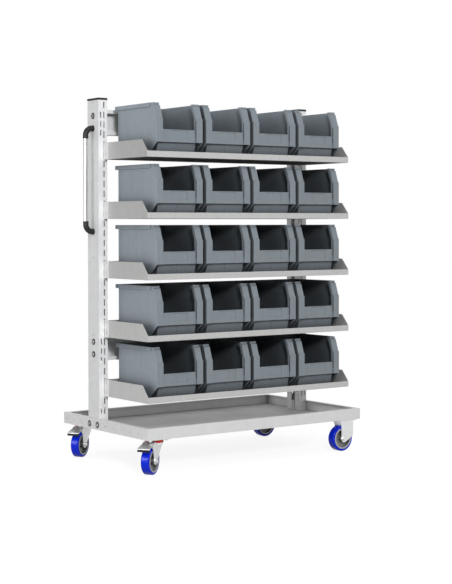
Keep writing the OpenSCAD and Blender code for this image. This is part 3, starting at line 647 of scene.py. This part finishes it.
def set_bolt_washers():
    """A near-black washer under each of these bolt heads, at both ends, standing in as painted shade round
    the head.
    """
    model = flat_ring("bolt_washer", WASHER_INNER, WASHER_OUTER, WASHER_THICK, WASHER_EDGE)
    for end, sign in (("left", -1), ("right", 1)):
        turn = Euler((0, sign * math.pi / 2, 0))
        for number, (x, y, z) in enumerate(bolt_spots(), 1):
            spot = (sign * (x - WASHER_SUNK), y, z)
            set_copy(model, "%s_washer_%d" % (end, number), spot, turn, "frame", WASHER_SHADE_BLACK)
    put_away(model)


set_hub_rings()
set_pedal_pads()
set_bolt_washers()


# Floor, light and camera

WHITE = (1, 1, 1, 1)
FLOOR_SIZE = 60
FLOOR_GREY = (0.26, 0.26, 0.26, 1)
FLOOR_SEEN = 0.87
FLOOR_MIRRORED = 0.65

# The studio as shiny pieces mirror it, with bearings from +X and half widths in degrees, and heights as
# the Z of a direction
GAP_BEARING = -94
GAP_HALF = (12, 17)
GAP_HEIGHT = (0.14, 0.22)
BACK_BEARING = 120
BACK_HALF = (35, 80)
BACK_LEVEL = 0.35
WINDOW_TOWARD = (-0.943, -0.121, 0.313)
WINDOW_HALF = (10, 7)
WINDOW_LEVEL = 10.0

SOFT_LIGHT = 0.52
LAMP_AIM = Vector((0, 0, 0.7))
# Name, place, width and watts
LAMPS = (
    ("key", (-2.4, -5.2, 2.55), 1.0, 170),
    ("side", (-5.0, -0.5, 1.2), 3.0, 55),
)

CAMERA_PLACE = (-3.271976, -4.619833, 0.892467)
CAMERA_PITCH = 89.35
CAMERA_BEARING = -35.825
CAMERA_LEAN = -0.121
CAMERA_LENS = 88.965
CAMERA_SENSOR = 36
CAMERA_SHIFT = -0.08538
CAMERA_FAR = 200


def seen_how(tree):
    """Whether a ray comes straight or through clear pieces from the camera, and whether it was mirrored."""
    path = tree.nodes.new("ShaderNodeLightPath").outputs
    return sums(tree, "MAXIMUM", path["Is Camera Ray"], path["Is Transmission Ray"]), path["Is Glossy Ray"]


def lay_floor():
    """A pale floor that keeps shadows and is nearly white to the camera."""
    bpy.ops.object.select_all(action="DESELECT")
    bpy.ops.mesh.primitive_plane_add(size=FLOOR_SIZE, location=(0, 0, 0))
    floor = bpy.context.object
    floor.name = "floor"
    material = bpy.data.materials.new("floor_white")
    material.use_nodes = True
    tree = material.node_tree
    tree.nodes.remove(tree.nodes["Principled BSDF"])
    paper = tree.nodes.new("ShaderNodeBsdfDiffuse")
    paper.inputs["Color"].default_value = FLOOR_GREY
    glow = tree.nodes.new("ShaderNodeEmission")
    straight, mirrored = seen_how(tree)
    level = sums(tree, "MAXIMUM", times(tree, straight, FLOOR_SEEN), times(tree, mirrored, FLOOR_MIRRORED))
    wire(tree, level, glow.inputs["Strength"])
    both = tree.nodes.new("ShaderNodeAddShader")
    wire(tree, paper.outputs[0], both.inputs[0])
    wire(tree, glow.outputs[0], both.inputs[1])
    wire(tree, both.outputs[0], tree.nodes["Material Output"].inputs["Surface"])
    floor.data.materials.append(material)


def off_bearing(tree, bearing, middle, half, wanted):
    """A level by how far a bearing lies from a middle one, spread between two half widths."""
    off = sums(tree, "ABSOLUTE", sums(tree, "SUBTRACT", bearing, math.radians(middle)))
    return spread(tree, off, [math.radians(width) for width in half], wanted)


def mirrored_screens(tree):
    """Brightness of the studio as shiny pieces mirror it, by direction: white in front and at the right,
    dim at the back left, with one dark gap between the front screens and a small window on the left."""
    direction = tree.nodes.new("ShaderNodeTexCoord").outputs["Generated"]
    axes = split_axes(tree, direction)
    bearing = sums(tree, "ARCTAN2", axes["Y"], axes["X"])
    across = off_bearing(tree, bearing, GAP_BEARING, GAP_HALF, (1.0, 0.0))
    upright = spread(tree, sums(tree, "ABSOLUTE", axes["Z"]), GAP_HEIGHT, (1.0, 0.0))
    gap = rest_of(tree, times(tree, across, upright))
    back = off_bearing(tree, bearing, BACK_BEARING, BACK_HALF, (BACK_LEVEL, 1.0))
    window_edges = [math.cos(math.radians(half)) for half in WINDOW_HALF]
    window = spread(tree, along(tree, direction, WINDOW_TOWARD), window_edges, (0.0, WINDOW_LEVEL))
    return sums(tree, "ADD", window, times(tree, gap, back))


def light_studio():
    """Soft light from all round, with a key and a side lamp."""
    scene = bpy.context.scene
    world = bpy.data.worlds.new("studio")
    scene.world = world
    world.use_nodes = True
    tree = world.node_tree
    soft = tree.nodes["Background"]
    soft.inputs["Color"].default_value = WHITE
    straight, mirrored = seen_how(tree)
    shown = sums(tree, "MAXIMUM", straight, times(tree, mirrored, mirrored_screens(tree)))
    scattered = rest_of(tree, sums(tree, "MAXIMUM", straight, mirrored))
    wire(tree, sums(tree, "ADD", shown, times(tree, scattered, SOFT_LIGHT)), soft.inputs["Strength"])
    for name, place, width, watts in LAMPS:
        data = bpy.data.lights.new(name, "AREA")
        data.energy = watts
        data.shape = "DISK"
        data.size = width
        lamp = bpy.data.objects.new(name, data)
        scene.collection.objects.link(lamp)
        lamp.location = place
        lamp.rotation_euler = (LAMP_AIM - Vector(place)).to_track_quat("-Z", "Y").to_euler()
    scene.view_settings.view_transform = "Standard"


def set_camera():
    """The photo's view: from the front left at bin height, nearly level, the picture leaning slightly."""
    data = bpy.data.cameras.new("photo_camera")
    data.lens = CAMERA_LENS
    data.sensor_width = CAMERA_SENSOR
    data.shift_y = CAMERA_SHIFT
    data.clip_end = CAMERA_FAR
    camera = bpy.data.objects.new("photo_camera", data)
    bpy.context.scene.collection.objects.link(camera)
    aim = Euler((math.radians(CAMERA_PITCH), 0, math.radians(CAMERA_BEARING))).to_matrix()
    lean = Matrix.Rotation(math.radians(CAMERA_LEAN), 3, "Z")
    camera.location = CAMERA_PLACE
    camera.rotation_euler = (aim @ lean).to_euler()
    bpy.context.scene.camera = camera


lay_floor()
light_studio()
set_camera()
